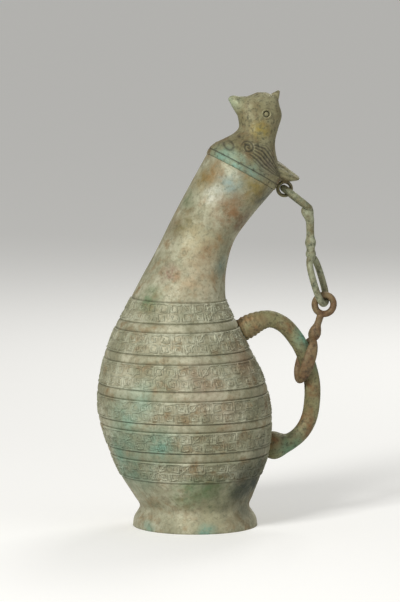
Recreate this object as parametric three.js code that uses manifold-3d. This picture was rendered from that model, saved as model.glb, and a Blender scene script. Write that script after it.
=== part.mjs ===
// A cast bronze lidded hu: a pear-shaped vessel with a bent neck, a serpent handle and a
// bird-shaped lid on a chain of two double-eyed links. Millimetres, +Z up, handle towards +X.
import * as THREE from "three";
import { mergeVertices } from "three/addons/utils/BufferGeometryUtils.js";
import Module from "manifold-3d";

// Driving dimensions
const wall = 2.8;                 // thickness of the cast wall
const seat = 0.3;                 // gap between touching castings
const footHeight = 16;            // height of the flared ring foot's hollow
const floorHeight = 21;           // the floor inside lies one wall thickness above this
const bandProud = 0.5;            // how far the relief bands stand out of the plain wall
const bands = [[45.4, 63.2], [72, 89.6], [97.4, 116.2], [125.2, 146.6], [154.6, 172.4], [180.4, 196.8]];
// Stations up the centre line: height, sideways place, radius and tilt in degrees
const stations = [
  { z: 0, x: 0, r: 53.8, tilt: 0 }, { z: 7, x: -0.1, r: 52.6, tilt: 0 },
  { z: 17, x: -0.5, r: 47.3, tilt: 0 }, { z: 26, x: -1.5, r: 51.2, tilt: 0 },
  { z: 44, x: -3.7, r: 60.3, tilt: 0 }, { z: 65, x: -5, r: 68.4, tilt: 0 },
  { z: 88, x: -7.8, r: 73.2, tilt: 0 }, { z: 102, x: -9.4, r: 74.3, tilt: 0 },
  { z: 118, x: -11, r: 72.8, tilt: 0 }, { z: 133, x: -12.3, r: 69.2, tilt: 0 },
  { z: 152, x: -14.7, r: 62.1, tilt: 0 }, { z: 171, x: -15.9, r: 53.5, tilt: 0 },
  { z: 194, x: -14.9, r: 42, tilt: 1 }, { z: 210, x: -10.5, r: 36.4, tilt: 7 },
  { z: 231, x: -3.2, r: 31.1, tilt: 13.5 }, { z: 256, x: 7, r: 28.4, tilt: 20 },
  { z: 279, x: 21.3, r: 29.7, tilt: 25 }, { z: 304.9, x: 39.5, r: 32.6, tilt: 29 },
];
const mouth = stations[stations.length - 1];
const spigotDepth = 12;           // how far the lid's spigot reaches into the neck
const spigotClearance = 0.7;      // between the spigot and the neck
const spigotWall = 2.2;
const spigotTaper = 0.4;          // the spigot narrows a little towards its foot
const rimHeight = 5;              // the lid's plain rim band
const lugPlace = { x: 78.4, z: 290 };
const lugHole = 4.4;              // hole radius of the tail's ring lug
const lugOuter = 7.4;
const lugWidth = 6;
const strand = 2.9;               // radius of the chain's strands
const kneePlace = { x: 114.1, z: 190 };   // where the two links hang in each other
const eyePlace = { x: 97.3, z: 140 };     // where the lower link's eye crosses the handle
const linkPlay = 1;               // how far a strand hangs off the middle of its hole
const kneeHalf = 9.6;             // half width of the upper link's lower eye
const kneeTurn = 0.56;            // how far that eye is turned to show its opening from the side
const eyeClearance = 2.4;         // beside the handle, in the lower link's eye
const eyeAbove = 19.4;            // the eye's reach above and below the handle's middle
const eyeBelow = 17.2;
const ringHole = 5.4;             // hole radius of the lower link's upper ring
const handleThick = 7;            // half thickness of the handle seen from the side
const handleBroad = 6.6;          // half breadth of the handle along Y
const rootSwell = 3;              // how much thicker the beast-headed upper root is
const bossSwell = 5.2;            // and the round boss at the lower root
const slitWidth = 4;              // the handle's open inner slit
const slitSpan = [0.36, 0.62];    // its start and end along the handle
const handlePath = [
  [34, 164], [45, 170.4], [56, 175.6], [66.5, 177.2], [78, 172], [87.4, 161.8],
  [94.5, 150], [99.8, 136], [103.2, 121], [103.4, 106], [100.9, 91], [95, 79.5],
  [86, 71.5], [76, 68], [58, 66.4]
];
const rivetRadius = 3;
const rivetLength = 9;
const chapletSize = 7;
const chapletRing = 26;           // distance of the chaplets from the vessel's centre
const sides = 44;                 // facets round the vessel
const colours = { bronze: 0x9aa083, clay: 0x8a6f56, olive: 0x8d8c68, rust: 0x8a6a4a };

const wasm = await Module();
wasm.setup();

// Smooth value of one station field at a height: a cubic through the stations
function along(field, z) {
  const last = stations.length - 1;
  let i = 0;
  while (i < last - 1 && stations[i + 1].z < z) i += 1;
  const slope = (k) => {
    const a = stations[Math.max(k - 1, 0)];
    const b = stations[Math.min(k + 1, last)];
    return (b[field] - a[field]) / (b.z - a.z);
  };
  const a = stations[i];
  const b = stations[i + 1];
  const h = b.z - a.z;
  const t = (z - a.z) / h;
  const rise = (2 * t ** 3 - 3 * t ** 2 + 1) * a[field] + (3 * t ** 2 - 2 * t ** 3) * b[field];
  return rise + h * ((t ** 3 - 2 * t ** 2 + t) * slope(i) + (t ** 3 - t ** 2) * slope(i + 1));
}

// A ring of points round the centre line, moved in or out along the wall's normal
function ring(z, offset) {
  const tilt = THREE.MathUtils.degToRad(along("tilt", z));
  const steep = Math.atan((along("r", z + 0.5) - along("r", z - 0.5)) * Math.cos(tilt));
  const axis = new THREE.Vector3(Math.sin(tilt), 0, Math.cos(tilt));
  const side = new THREE.Vector3(Math.cos(tilt), 0, -Math.sin(tilt));
  const centre = new THREE.Vector3(along("x", z), 0, z).addScaledVector(axis, -offset * Math.sin(steep));
  const radius = along("r", z) + offset * Math.cos(steep);
  return circle(centre, side, new THREE.Vector3(0, 1, 0), radius, radius, sides);
}

// Points of an ellipse in the plane of two directions
function circle(centre, u, v, ru, rv, count) {
  return Array.from({ length: count }, (_, k) => {
    const a = (2 * Math.PI * k) / count;
    return centre.clone().addScaledVector(u, ru * Math.cos(a)).addScaledVector(v, rv * Math.sin(a));
  });
}

// A solid through rings of equal count, capped at both ends or joined into a loop
function loft(rings, closed = false) {
  const count = rings[0].length;
  const points = rings.flat();
  const index = [];
  const steps = closed ? rings.length : rings.length - 1;
  for (let i = 0; i < steps; i += 1) {
    for (let k = 0; k < count; k += 1) {
      const a = i * count + k;
      const b = i * count + ((k + 1) % count);
      const c = ((i + 1) % rings.length) * count + k;
      const d = ((i + 1) % rings.length) * count + ((k + 1) % count);
      index.push(a, b, d, a, d, c);
    }
  }
  if (!closed) {
    for (const [start, flip] of [[0, true], [(rings.length - 1) * count, false]]) {
      const middle = new THREE.Vector3();
      for (let k = 0; k < count; k += 1) middle.addScaledVector(points[start + k], 1 / count);
      points.push(middle);
      for (let k = 0; k < count; k += 1) {
        const a = start + k;
        const b = start + ((k + 1) % count);
        index.push(...(flip ? [b, a, points.length - 1] : [a, b, points.length - 1]));
      }
    }
  }
  const geometry = new THREE.BufferGeometry().setFromPoints(points);
  geometry.setIndex(index);
  return solid(geometry);
}

// A tube of elliptical section along a curve that lies in one plane
function sweep(curve, normal, size, steps, closed, count = 12) {
  const rings = [];
  for (let i = 0; i < steps + (closed ? 0 : 1); i += 1) {
    const t = i / steps;
    const across = new THREE.Vector3().crossVectors(curve.getTangentAt(t), normal).normalize();
    const [rn, ra] = size(t);
    rings.push(circle(curve.getPointAt(t), normal, across, rn, ra, count));
  }
  return loft(rings, closed);
}

// A closed mesh as a solid, turned right side out
function solid(geometry) {
  const bare = geometry.clone();
  bare.deleteAttribute("normal");
  bare.deleteAttribute("uv");
  const merged = mergeVertices(bare, 1e-4);
  const make = (indices) => new wasm.Manifold(new wasm.Mesh({
    numProp: 3, vertProperties: merged.attributes.position.array, triVerts: new Uint32Array(indices),
  }));
  const indices = Array.from(merged.index.array);
  const body = make(indices);
  return body.volume() > 0 ? body : make(indices.reverse());
}

// A named mesh made of a solid
function piece(name, body, colour, metalness = 0.6) {
  const { vertProperties, triVerts } = body.getMesh();
  const geometry = new THREE.BufferGeometry();
  geometry.setAttribute("position", new THREE.BufferAttribute(vertProperties.slice(), 3));
  geometry.setIndex(Array.from(triVerts));
  geometry.computeVertexNormals();
  const material = new THREE.MeshStandardMaterial({ color: colour, roughness: 0.7, metalness });
  const mesh = new THREE.Mesh(geometry, material);
  mesh.name = name;
  return mesh;
}

// A cylinder between two points
function rod(from, to, radius, count = 16) {
  const axis = new THREE.Vector3().subVectors(to, from);
  const geometry = new THREE.CylinderGeometry(radius, radius, axis.length(), count);
  const turn = new THREE.Quaternion().setFromUnitVectors(new THREE.Vector3(0, 1, 0), axis.normalize());
  geometry.applyQuaternion(turn);
  geometry.translate((from.x + to.x) / 2, (from.y + to.y) / 2, (from.z + to.z) / 2);
  return solid(geometry);
}

function ball(place, radius, stretch = new THREE.Vector3(1, 1, 1)) {
  const geometry = new THREE.SphereGeometry(radius, 12, 8);
  geometry.scale(stretch.x, stretch.y, stretch.z);
  geometry.translate(place.x, place.y, place.z);
  return solid(geometry);
}

const at = (x, z, y = 0) => new THREE.Vector3(x, y, z);
const upY = new THREE.Vector3(0, 1, 0);
const tiltTop = THREE.MathUtils.degToRad(mouth.tilt);
const neckAxis = at(Math.sin(tiltTop), Math.cos(tiltTop));
const neckSide = at(Math.cos(tiltTop), -Math.sin(tiltTop));
const mouthCentre = at(mouth.x, mouth.z);

// Heights of the outer rings, with the edges of each relief band
function outerRings(offset) {
  const heights = [0, 3, 7, 11, 14, 17, 20, 26, 35];
  for (const [low, high] of bands) heights.push(low, (low + high) / 2, high);
  heights.push(205, 215, 225, 235, 246, 257, 268, 279, 292, mouth.z);
  return heights.flatMap((z) => {
    const band = bands.find(([low, high]) => z >= low && z <= high);
    if (!band) return [ring(z, offset)];
    if (z === band[0]) return [ring(z - 0.6, offset), ring(z, offset + bandProud)];
    if (z === band[1]) return [ring(z, offset + bandProud), ring(z + 0.6, offset)];
    return [ring(z, offset + bandProud)];
  });
}

// The space inside the vessel, run out past its mouth
function insideSolid(offset) {
  const rings = [];
  for (let z = floorHeight; z < mouth.z; z += 20) rings.push(ring(z + wall, offset));
  rings.push(ring(mouth.z, offset));
  rings.push(ring(mouth.z, offset).map((p) => p.clone().addScaledVector(neckAxis, 4)));
  return loft(rings);
}

// The vessel: outer shape less the space inside and the hollow under the foot
function vesselSolid() {
  const hollow = [-1, 3, 7, 11, footHeight].map((z) => ring(Math.max(z, 0), -wall)
    .map((p) => at(p.x, z, p.y)));
  let body = loft(outerRings(0)).subtract(insideSolid(-wall)).subtract(loft(hollow));
  for (const pin of [rivets.upper, rivets.lower]) {
    body = body.subtract(rod(pin.from, pin.to, rivetRadius + seat));
  }
  for (const place of chapletPlaces) body = body.subtract(chaplet(place, seat));
  return body;
}

// Chaplets: square bronze spacers cast into the floor
const chapletPlaces = Array.from({ length: 4 }, (_, k) => {
  const a = Math.PI / 4 + (k * Math.PI) / 2;
  return at(chapletRing * Math.cos(a), 0, chapletRing * Math.sin(a));
});
function chaplet(place, extra) {
  const low = footHeight - 1;
  const high = floorHeight + wall + 1;
  const height = extra > 0 ? high - low : floorHeight - footHeight;
  const geometry = new THREE.BoxGeometry(chapletSize + 2 * extra, chapletSize + 2 * extra, height);
  geometry.translate(place.x, place.y, extra > 0 ? (low + high) / 2 : (footHeight + floorHeight) / 2 + 1);
  return solid(geometry);
}

// Rivets: cast tenons through the wall into the handle's roots
const rivets = {
  upper: { from: at(36, 168), to: at(36 + rivetLength, 168 + rivetLength * 0.25) },
  lower: { from: at(60, 66.5), to: at(60 + rivetLength, 66.9) },
};

// The handle: a thick root like a beast's head above, an arc, and a boss below
const handleCurve = new THREE.CatmullRomCurve3(handlePath.map(([x, z]) => at(x, z)));
const handleSize = (t) => {
  const root = Math.exp(-(((t - 0.07) / 0.08) ** 2));
  const boss = Math.exp(-(((t - 0.94) / 0.05) ** 2));
  const swell = rootSwell * root + bossSwell * boss;
  return [handleBroad + swell, handleThick + swell];
};
function slitSolid(extra) {
  const steps = 10;
  const rings = [];
  for (let i = 0; i <= steps; i += 1) {
    const t = slitSpan[0] + ((slitSpan[1] - slitSpan[0]) * i) / steps;
    const p = handleCurve.getPointAt(t);
    const inward = new THREE.Vector3().crossVectors(handleCurve.getTangentAt(t), upY).normalize();
    if (inward.x > 0) inward.negate();
    const half = slitWidth / 2 - extra;
    const deep = -handleThick * 0.45 + extra;
    const out = extra > 0 ? handleThick - 1.6 : handleThick + 3;
    rings.push([[-half, deep], [half, deep], [half, out], [-half, out]]
      .map(([y, d]) => p.clone().addScaledVector(inward, d).addScaledVector(upY, y)));
  }
  const body = loft(rings);
  if (extra === 0) return body;
  const trim = sweep(handleCurve, upY, () => [20, 20], 40, false);
  return body.intersect(trim);
}
function handleSolid() {
  const wallSkin = loft(outerRings(seat));
  let body = sweep(handleCurve, upY, handleSize, 30, false, 16);
  body = body.subtract(wallSkin).subtract(slitSolid(0));
  for (const pin of [rivets.upper, rivets.lower]) {
    body = body.subtract(rod(pin.from, pin.to, rivetRadius + seat));
  }
  return largest(body);
}

// The bird: sections between a front point and a back point of its profile
const birdSections = [
  { front: [11.4, 322.6], back: [70.8, 291.6], half: 33.2 },
  { front: [13.2, 326.4], back: [73.2, 296.5], half: 32.6 },
  { front: [18.5, 330.5], back: [74.5, 303], half: 31 },
  { front: [26, 334], back: [72, 313], half: 27 },
  { front: [34, 338.2], back: [69.8, 323], half: 21.5 },
  { front: [38.4, 343], back: [69.8, 332], half: 17.5 },
  { front: [38.2, 349], back: [72.6, 342.5], half: 15 },
  { front: [36.8, 355.5], back: [75.6, 353], half: 13.8 },
  { front: [36.6, 363], back: [73.6, 362], half: 12.6 },
  { front: [41, 367.8], back: [71.8, 368.5], half: 9.6 },
  { front: [49, 371.2], back: [67, 371.4], half: 5.6 },
  { front: [54, 373.2], back: [62, 373.2], half: 2 },
];
const beak = [{ x: 48, z: 360, high: 10, broad: 9.5 }, { x: 39, z: 361, high: 9, broad: 7.6 },
  { x: 34, z: 364.6, high: 6.2, broad: 5.4 }, { x: 30.6, z: 367.2, high: 2.8, broad: 2.8 },
  { x: 29.2, z: 367.6, high: 1, broad: 1 }];
const ear = [{ x: 64, z: 362, high: 6.5, broad: 5 }, { x: 69.5, z: 369, high: 4.2, broad: 3.2 },
  { x: 73.4, z: 374.4, high: 1, broad: 0.9 }];
const tail = [{ x: 64, z: 309, high: 9, broad: 20 }, { x: 74, z: 304.4, high: 7.4, broad: 17 },
  { x: 82, z: 301.2, high: 5, broad: 14 }, { x: 89, z: 299.2, high: 2.2, broad: 11 }];
function birdLoft(inset, from, to) {
  return loft(birdSections.slice(from, to).map(({ front, back, half }) => {
    const a = at(...front);
    const b = at(...back);
    const u = new THREE.Vector3().subVectors(b, a);
    const reach = u.length() / 2 - inset;
    return circle(a.add(b).multiplyScalar(0.5), u.normalize(), upY, reach, half - inset, 36);
  }));
}
function mouthDisc(low, high, radius, grow = 0) {
  const rings = [[low, radius], [high, radius + grow]].map(([h, r]) =>
    circle(mouthCentre.clone().addScaledVector(neckAxis, h), neckSide, upY, r, r, sides));
  return loft(rings);
}
// A tapering form through ellipses: place, half height along a direction and half breadth
function taper(table, up, count) {
  return loft(table.map(({ x, z, high, broad }) => circle(at(x, z), up, upY, high, broad, count)));
}
function lidSolid() {
  const spigotTop = mouth.r - wall - spigotClearance;
  const spigotFoot = along("r", mouth.z - spigotDepth * Math.cos(tiltTop))
    - wall - spigotClearance - spigotTaper;
  let body = mouthDisc(seat, rimHeight, mouth.r + 0.6, 0.4)
    .add(mouthDisc(-spigotDepth, seat + 1, spigotFoot, spigotTop - spigotFoot))
    .add(birdLoft(0, 0, birdSections.length))
    .add(taper(beak, at(0, 1), 16)).add(taper(ear, at(-0.8, 0.6), 12)).add(taper(tail, at(0.25, 0.97), 20));
  const eyeForm = new THREE.Vector3(1, 0.4, 1);
  for (const y of [-1, 1]) body = body.add(ball(at(60.5, 355.5, y * 12.2), 4.4, eyeForm));
  const lugEnds = [-1, 1].map((side) => at(lugPlace.x, lugPlace.z, (side * lugWidth) / 2));
  body = body.add(rod(lugEnds[0], lugEnds[1], lugOuter, 24));
  const hollow = mouthDisc(-spigotDepth - 2, 6, spigotFoot - spigotWall).add(birdLoft(2.6, 0, 9));
  const bore = rod(at(lugPlace.x, lugPlace.z, -9), at(lugPlace.x, lugPlace.z, 9), lugHole, 24);
  return body.subtract(hollow.subtract(mouthDisc(-40, -spigotDepth - 3, 60)))
    .subtract(bore).subtract(clearUnderTail());
}
// The largest solid of a cut piece
function largest(body) {
  return body.decompose().sort((a, b) => b.volume() - a.volume())[0];
}
// The tail and its lug stay clear of the vessel's rim below them
function clearUnderTail() {
  return loft(outerRings(seat)).subtract(insideSolid(-wall - seat));
}
function headCoreSolid() {
  return birdLoft(2.9, 5, 9);
}

// An elongated loop of a strand in the plane of two directions
function loopCurve(start, along_, across, length, halfWidth) {
  const points = [];
  for (let k = 0; k < 24; k += 1) {
    const a = (2 * Math.PI * k) / 24;
    const reach = (length / 2) * (1 - Math.sign(Math.cos(a)) * Math.abs(Math.cos(a)) ** 0.8);
    points.push(start.clone().addScaledVector(along_, reach)
      .addScaledVector(across, halfWidth * Math.sign(Math.sin(a)) * Math.abs(Math.sin(a)) ** 0.8));
  }
  return new THREE.CatmullRomCurve3(points, true);
}
const lug = at(lugPlace.x, lugPlace.z);
const knee = at(kneePlace.x, kneePlace.z);
const eye = at(eyePlace.x, eyePlace.z);
function upperLinkSolid() {
  const knuckle = at(100, 273);
  const lowAim = new THREE.Vector3().subVectors(knee, at(102, 230)).normalize();
  const highAim = new THREE.Vector3().subVectors(knuckle, lug).normalize();
  const lowAcross = new THREE.Vector3().crossVectors(lowAim, upY).multiplyScalar(kneeTurn);
  lowAcross.addScaledVector(upY, Math.sqrt(1 - kneeTurn ** 2));
  const hang = lug.clone().addScaledVector(highAim, -linkPlay);
  const high = loopCurve(hang, highAim, upY, knuckle.distanceTo(hang), lugWidth / 2 + strand + 1.7);
  const low = loopCurve(at(102, 230), lowAim, lowAcross, knee.distanceTo(at(102, 230)), kneeHalf);
  const lowNormal = new THREE.Vector3().crossVectors(lowAim, lowAcross).normalize();
  const highNormal = new THREE.Vector3().crossVectors(highAim, upY).normalize();
  return sweep(high, highNormal, () => [strand, strand], 28, true, 8)
    .add(sweep(low, lowNormal, () => [strand, strand], 32, true, 8))
    .add(ball(knuckle, 5)).add(rod(knuckle, at(101, 252), 3.6)).add(rod(at(101, 253), at(102, 230), 3.4))
    .add(ball(at(101.6, 241), 4.8, new THREE.Vector3(1, 1, 0.6))).add(ball(at(102, 231), 4.6));
}
function lowerLinkSolid() {
  const aim = new THREE.Vector3().subVectors(eye, knee).normalize();
  const normal = new THREE.Vector3().crossVectors(aim, upY).normalize();
  const centre = knee.clone().addScaledVector(aim, 1);
  const middleRadius = ringHole + strand;
  const ringPoints = circle(centre, at(1, 0), at(0, 1), middleRadius, middleRadius, 16);
  const top = new THREE.CatmullRomCurve3(ringPoints, true);
  const start = eye.clone().addScaledVector(aim, -eyeAbove);
  const loop = loopCurve(start, aim, upY, eyeAbove + eyeBelow, handleBroad + eyeClearance + strand);
  const strap = (t) => [strand + 2.6 * Math.sin(2 * Math.PI * t) ** 2, strand];
  return sweep(top, upY, () => [strand, strand], 24, true, 8)
    .add(sweep(loop, normal, strap, 32, true, 8))
    .add(rod(knee.clone().addScaledVector(aim, ringHole + strand), start, 3.2))
    .add(ball(start.clone().addScaledVector(aim, -2), 5.4));
}

const vessel = new THREE.Group();
vessel.add(piece("vessel_body", vesselSolid(), colours.bronze));
vessel.add(piece("handle", handleSolid(), colours.olive));
vessel.add(piece("handle_core", slitSolid(seat), colours.clay, 0));
vessel.add(piece("handle_rivet_upper", rod(rivets.upper.from, rivets.upper.to, rivetRadius), colours.olive));
vessel.add(piece("handle_rivet_lower", rod(rivets.lower.from, rivets.lower.to, rivetRadius), colours.olive));
chapletPlaces.forEach((place, k) => vessel.add(piece(`chaplet_${k + 1}`, chaplet(place, 0), colours.rust)));
vessel.add(piece("lid", lidSolid(), colours.olive));
vessel.add(piece("head_core", headCoreSolid(), colours.clay, 0));
vessel.add(piece("chain_link_upper", upperLinkSolid(), colours.bronze));
vessel.add(piece("chain_link_lower", lowerLinkSolid(), colours.rust));

// The origin is under the middle of the whole object's box
const box = new THREE.Box3().setFromObject(vessel);
vessel.position.x = -(box.min.x + box.max.x) / 2;
vessel.position.y = -(box.min.y + box.max.y) / 2;
vessel.position.z = -box.min.z;
const lidded_hu = new THREE.Group();
lidded_hu.add(vessel);
export default lidded_hu;
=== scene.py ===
import logging
import math
from dataclasses import dataclass, field
from enum import Enum

import bpy
import numpy as np
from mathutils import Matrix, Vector


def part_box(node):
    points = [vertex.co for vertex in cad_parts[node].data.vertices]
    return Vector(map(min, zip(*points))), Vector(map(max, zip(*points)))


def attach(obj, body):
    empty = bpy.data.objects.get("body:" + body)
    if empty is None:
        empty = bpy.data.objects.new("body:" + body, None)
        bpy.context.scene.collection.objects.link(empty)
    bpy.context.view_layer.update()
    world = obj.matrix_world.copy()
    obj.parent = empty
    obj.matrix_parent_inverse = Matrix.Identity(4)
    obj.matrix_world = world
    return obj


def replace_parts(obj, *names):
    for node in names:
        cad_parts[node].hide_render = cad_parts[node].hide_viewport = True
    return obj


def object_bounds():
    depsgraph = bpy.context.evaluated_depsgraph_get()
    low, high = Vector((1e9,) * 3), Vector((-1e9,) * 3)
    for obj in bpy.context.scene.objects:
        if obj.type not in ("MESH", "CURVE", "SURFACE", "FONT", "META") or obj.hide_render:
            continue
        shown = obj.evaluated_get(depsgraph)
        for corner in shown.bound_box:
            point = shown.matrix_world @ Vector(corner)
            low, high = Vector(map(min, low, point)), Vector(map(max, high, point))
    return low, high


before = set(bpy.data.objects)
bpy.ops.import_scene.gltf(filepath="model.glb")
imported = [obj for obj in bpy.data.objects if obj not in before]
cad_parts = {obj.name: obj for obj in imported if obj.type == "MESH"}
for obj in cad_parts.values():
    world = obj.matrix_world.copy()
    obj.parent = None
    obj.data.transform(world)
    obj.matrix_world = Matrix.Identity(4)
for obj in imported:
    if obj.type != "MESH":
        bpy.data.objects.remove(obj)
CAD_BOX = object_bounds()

MM = 0.001
LOG = logging.getLogger("hu_vessel")
WIDTH_PX, HEIGHT_PX = 400, 602
SEED = 7


class Slot(Enum):
    """The record's material slots."""

    GREEN = "green_patina"
    OLIVE = "olive_patina"
    BROWN = "brown_patina"
    CLAY = "fired_clay"


def foot_centre_x() -> float:
    """Sideways place of the foot's middle in mm: the mean of the four floor chaplets' middles."""
    boxes = [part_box(f"chaplet_{k}") for k in range(1, 5)]
    return float(np.mean([(low[0] + high[0]) / 2 for low, high in boxes])) / MM


FOOT_X = foot_centre_x()
TOP_Z = float(CAD_BOX[1][2]) / MM


def linear(hex_colour: str) -> tuple[float, float, float, float]:
    """An sRGB hex colour as linear red, green, blue and alpha."""
    parts = np.array([int(hex_colour[k:k + 2], 16) for k in (1, 3, 5)]) / 255
    low = parts / 12.92
    high = ((parts + 0.055) / 1.055) ** 2.4
    return (*np.where(parts <= 0.04045, low, high).tolist(), 1.0)


def spread(a: np.ndarray) -> np.ndarray:
    """A column of row values, ready to broadcast against angles and x, y, z."""
    return np.asarray(a, float)[:, None, None]


def unit(v: np.ndarray) -> np.ndarray:
    """Vectors scaled to length one."""
    return v / np.linalg.norm(v, axis=-1, keepdims=True)


def hermite(knots: np.ndarray, values: np.ndarray, at: np.ndarray) -> np.ndarray:
    """A smooth cubic through values at knots, with each slope taken from the neighbours on both sides.

    Args:
        knots: rising places, one for each value row.
        values: one row for each knot.
        at: places to work the curve out at.

    Returns:
        One row of values for each place.
    """
    values = np.asarray(values, float).reshape(len(knots), -1)
    before = np.maximum(np.arange(len(knots)) - 1, 0)
    after = np.minimum(np.arange(len(knots)) + 1, len(knots) - 1)
    slope = (values[after] - values[before]) / (knots[after] - knots[before])[:, None]
    i = np.clip(np.searchsorted(knots, at) - 1, 0, len(knots) - 2)
    h = (knots[i + 1] - knots[i])[:, None]
    t = ((at - knots[i]) / h[:, 0])[:, None]
    start = (2 * t**3 - 3 * t**2 + 1) * values[i] + (t**3 - 2 * t**2 + t) * h * slope[i]
    return start + (3 * t**2 - 2 * t**3) * values[i + 1] + (t**3 - t**2) * h * slope[i + 1]


class Shell:
    """Closed surfaces gathered into one mesh, in mm from the foot's middle."""

    def __init__(self) -> None:
        """Starts with no surface."""
        self.points: list[np.ndarray] = []
        self.faces: list[np.ndarray] = []
        self.recess: list[np.ndarray] = []
        self.count = 0

    def add(self, grid: np.ndarray, loop: bool = False, recess: np.ndarray | None = None) -> None:
        """Adds a grid of rings as a closed surface facing outwards.

        Each ring joins round to its start. The rows either join end to end, or each end closes on
        the middle of its ring. A surface whose signed volume is negative is turned inside out.

        Args:
            grid: points by row, by place round the ring, by x, y, z.
            loop: whether the last row joins the first.
            recess: how deep each grid point lies in the relief, from 0 to 1; the finish paints soil and
                shade darker there.
        """
        rows, cols = grid.shape[:2]
        points = grid.reshape(-1, 3)
        depth = np.zeros(rows * cols) if recess is None else recess.reshape(-1)
        i, j = np.meshgrid(np.arange(rows if loop else rows - 1), np.arange(cols), indexing="ij")
        a, b = i * cols + j, i * cols + (j + 1) % cols
        c, d = (i + 1) % rows * cols + j, (i + 1) % rows * cols + (j + 1) % cols
        faces = [np.stack([a, b, d], -1).reshape(-1, 3), np.stack([a, d, c], -1).reshape(-1, 3)]
        if not loop:
            k = np.arange(cols)
            last = (rows - 1) * cols
            points = np.vstack([points, grid[0].mean(0), grid[-1].mean(0)])
            depth = np.append(depth, [0.0, 0.0])
            faces.append(np.stack([(k + 1) % cols, k, np.full(cols, rows * cols)], -1))
            faces.append(np.stack([last + k, last + (k + 1) % cols, np.full(cols, rows * cols + 1)], -1))
        tri = np.vstack(faces)
        p, q, r = (points[tri[:, n]] for n in range(3))
        if np.einsum("ij,ij->i", p, np.cross(q, r)).sum() < 0:
            tri = tri[:, ::-1]
        self.points.append(points)
        self.faces.append(tri + self.count)
        self.recess.append(depth)
        self.count += len(points)

    def build(self, name: str, material: bpy.types.Material, body: str, slot: Slot) -> bpy.types.Object:
        """Makes the mesh object, dresses it and hangs it on its body.

        Args:
            name: the piece's name.
            material: its finish.
            body: the body that it rides on.
            slot: the record's material slot; not used.

        Returns:
            The new object, standing at the origin.
        """
        points = (np.vstack(self.points) + [FOOT_X, 0, 0]) * MM
        faces = np.vstack(self.faces)
        mesh = bpy.data.meshes.new(name)
        mesh.vertices.add(len(points))
        mesh.vertices.foreach_set("co", points.astype(np.float32).ravel())
        mesh.loops.add(faces.size)
        mesh.loops.foreach_set("vertex_index", faces.astype(np.int32).ravel())
        mesh.polygons.add(len(faces))
        mesh.polygons.foreach_set("loop_start", np.arange(0, faces.size, 3, dtype=np.int32))
        mesh.polygons.foreach_set("use_smooth", np.ones(len(faces), dtype=bool))
        # the recess mask drives the painted shade and soil colour in the finish
        attribute = mesh.attributes.new("recess", "FLOAT", "POINT")
        attribute.data.foreach_set("value", np.concatenate(self.recess).astype(np.float32))
        mesh.update(calc_edges=True)
        mesh.validate()
        mesh.materials.append(material)
        piece = bpy.data.objects.new(name, mesh)
        bpy.context.scene.collection.objects.link(piece)
        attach(piece, body)
        LOG.info("%s: %d triangles on %s", name, len(faces), body)
        return piece


def ellipse(centre: np.ndarray, u: np.ndarray, v: np.ndarray, ru: np.ndarray, rv: np.ndarray,
            count: int) -> np.ndarray:
    """Rows of ellipses: centre plus ru times cosine along u plus rv times sine along v.

    Args:
        centre: one centre for each row.
        u: first direction, for all rows or one each.
        v: second direction.
        ru: reach along u, by row.
        rv: reach along v, by row.
        count: points round each ellipse.

    Returns:
        Points by row, by place round the ellipse.
    """
    a = np.linspace(0, 2 * np.pi, count, endpoint=False)
    u, v = np.broadcast_to(u, centre.shape), np.broadcast_to(v, centre.shape)
    first = spread(ru) * np.cos(a)[None, :, None] * u[:, None]
    return centre[:, None] + first + spread(rv) * np.sin(a)[None, :, None] * v[:, None]


def sweep(path: np.ndarray, normal: np.ndarray, along_normal: np.ndarray, across: np.ndarray, closed: bool,
          count: int) -> np.ndarray:
    """An elliptical section carried along a path that lies in one plane.

    The second direction of each section is the path's tangent crossed with the plane's normal.

    Args:
        path: points along the middle.
        normal: the plane's normal.
        along_normal: half size of the section along the normal, by point.
        across: half size in the plane, by point.
        closed: whether the path joins end to end.
        count: points round each section.

    Returns:
        Points by row, by place round the section.
    """
    ahead = np.roll(path, -1, 0) - np.roll(path, 1, 0) if closed else np.gradient(path, axis=0)
    side = unit(np.cross(unit(ahead), normal))
    return ellipse(path, normal, side, along_normal, across, count)


def flat(x: float, z: float) -> np.ndarray:
    """A point in the middle plane of the vessel."""
    return np.array([x, 0.0, z])


Y_AXIS = np.array([0.0, 1.0, 0.0])


@dataclass(frozen=True)
class Patch:
    """A patch of one colour round a place, in mm from the foot's middle: mostly a stain, in a few places a
    painted highlight.
    """

    place: tuple[float, float, float]
    reach: float
    colour: str
    strength: float = 0.8


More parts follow.
